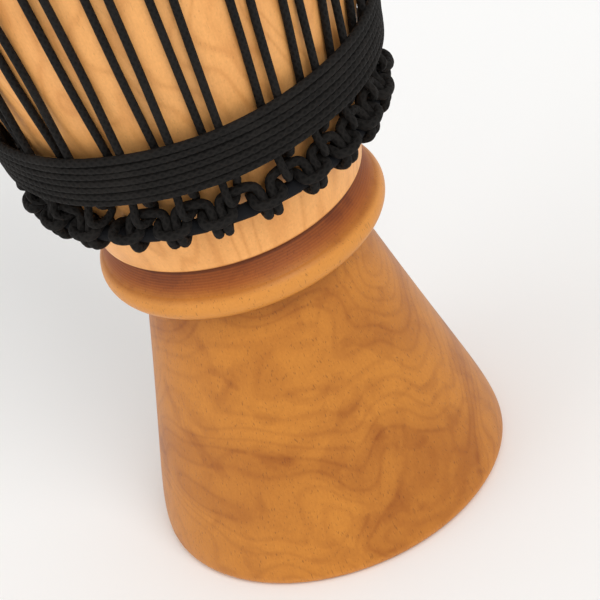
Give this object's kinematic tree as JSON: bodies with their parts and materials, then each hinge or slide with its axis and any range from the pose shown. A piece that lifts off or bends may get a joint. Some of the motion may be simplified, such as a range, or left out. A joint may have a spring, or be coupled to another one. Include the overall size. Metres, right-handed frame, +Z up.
{
  "type": "bougarabou",
  "caption": "Rope-tuned goblet drum: carved wooden shell with a skin head, laced down to a ring above the waist with dark cord and a wound band of surplus rope.",
  "frame": {"origin": "centre of the foot's rim, on the face that the drum stands on", "axes": "+Z up along the drum's axis towards the skin, -Y towards the side that is pictured"},
  "size_m": [0.3109, 0.3108, 0.62],
  "materials": {
    "wood": "satin, oiled, with dark turning lines round the moulding",
    "hide": "matt rawhide",
    "steel": "brushed rod",
    "cloth": "matt woven cotton strip",
    "braid": "braided polyester cord"
  },
  "bodies": {
    "root": {"shell": "wood", "skin_head": "hide", "flesh_ring": "steel", "crown_ring": "steel", "bottom_ring": "steel", "crown_ring_cloth": "cloth", "bottom_ring_cloth": "cloth", "crown_loop_rope": "braid", "bottom_loop_rope": "braid", "tension_rope": "braid", "surplus_rope_winding": "braid"}
  },
  "joints": []
}
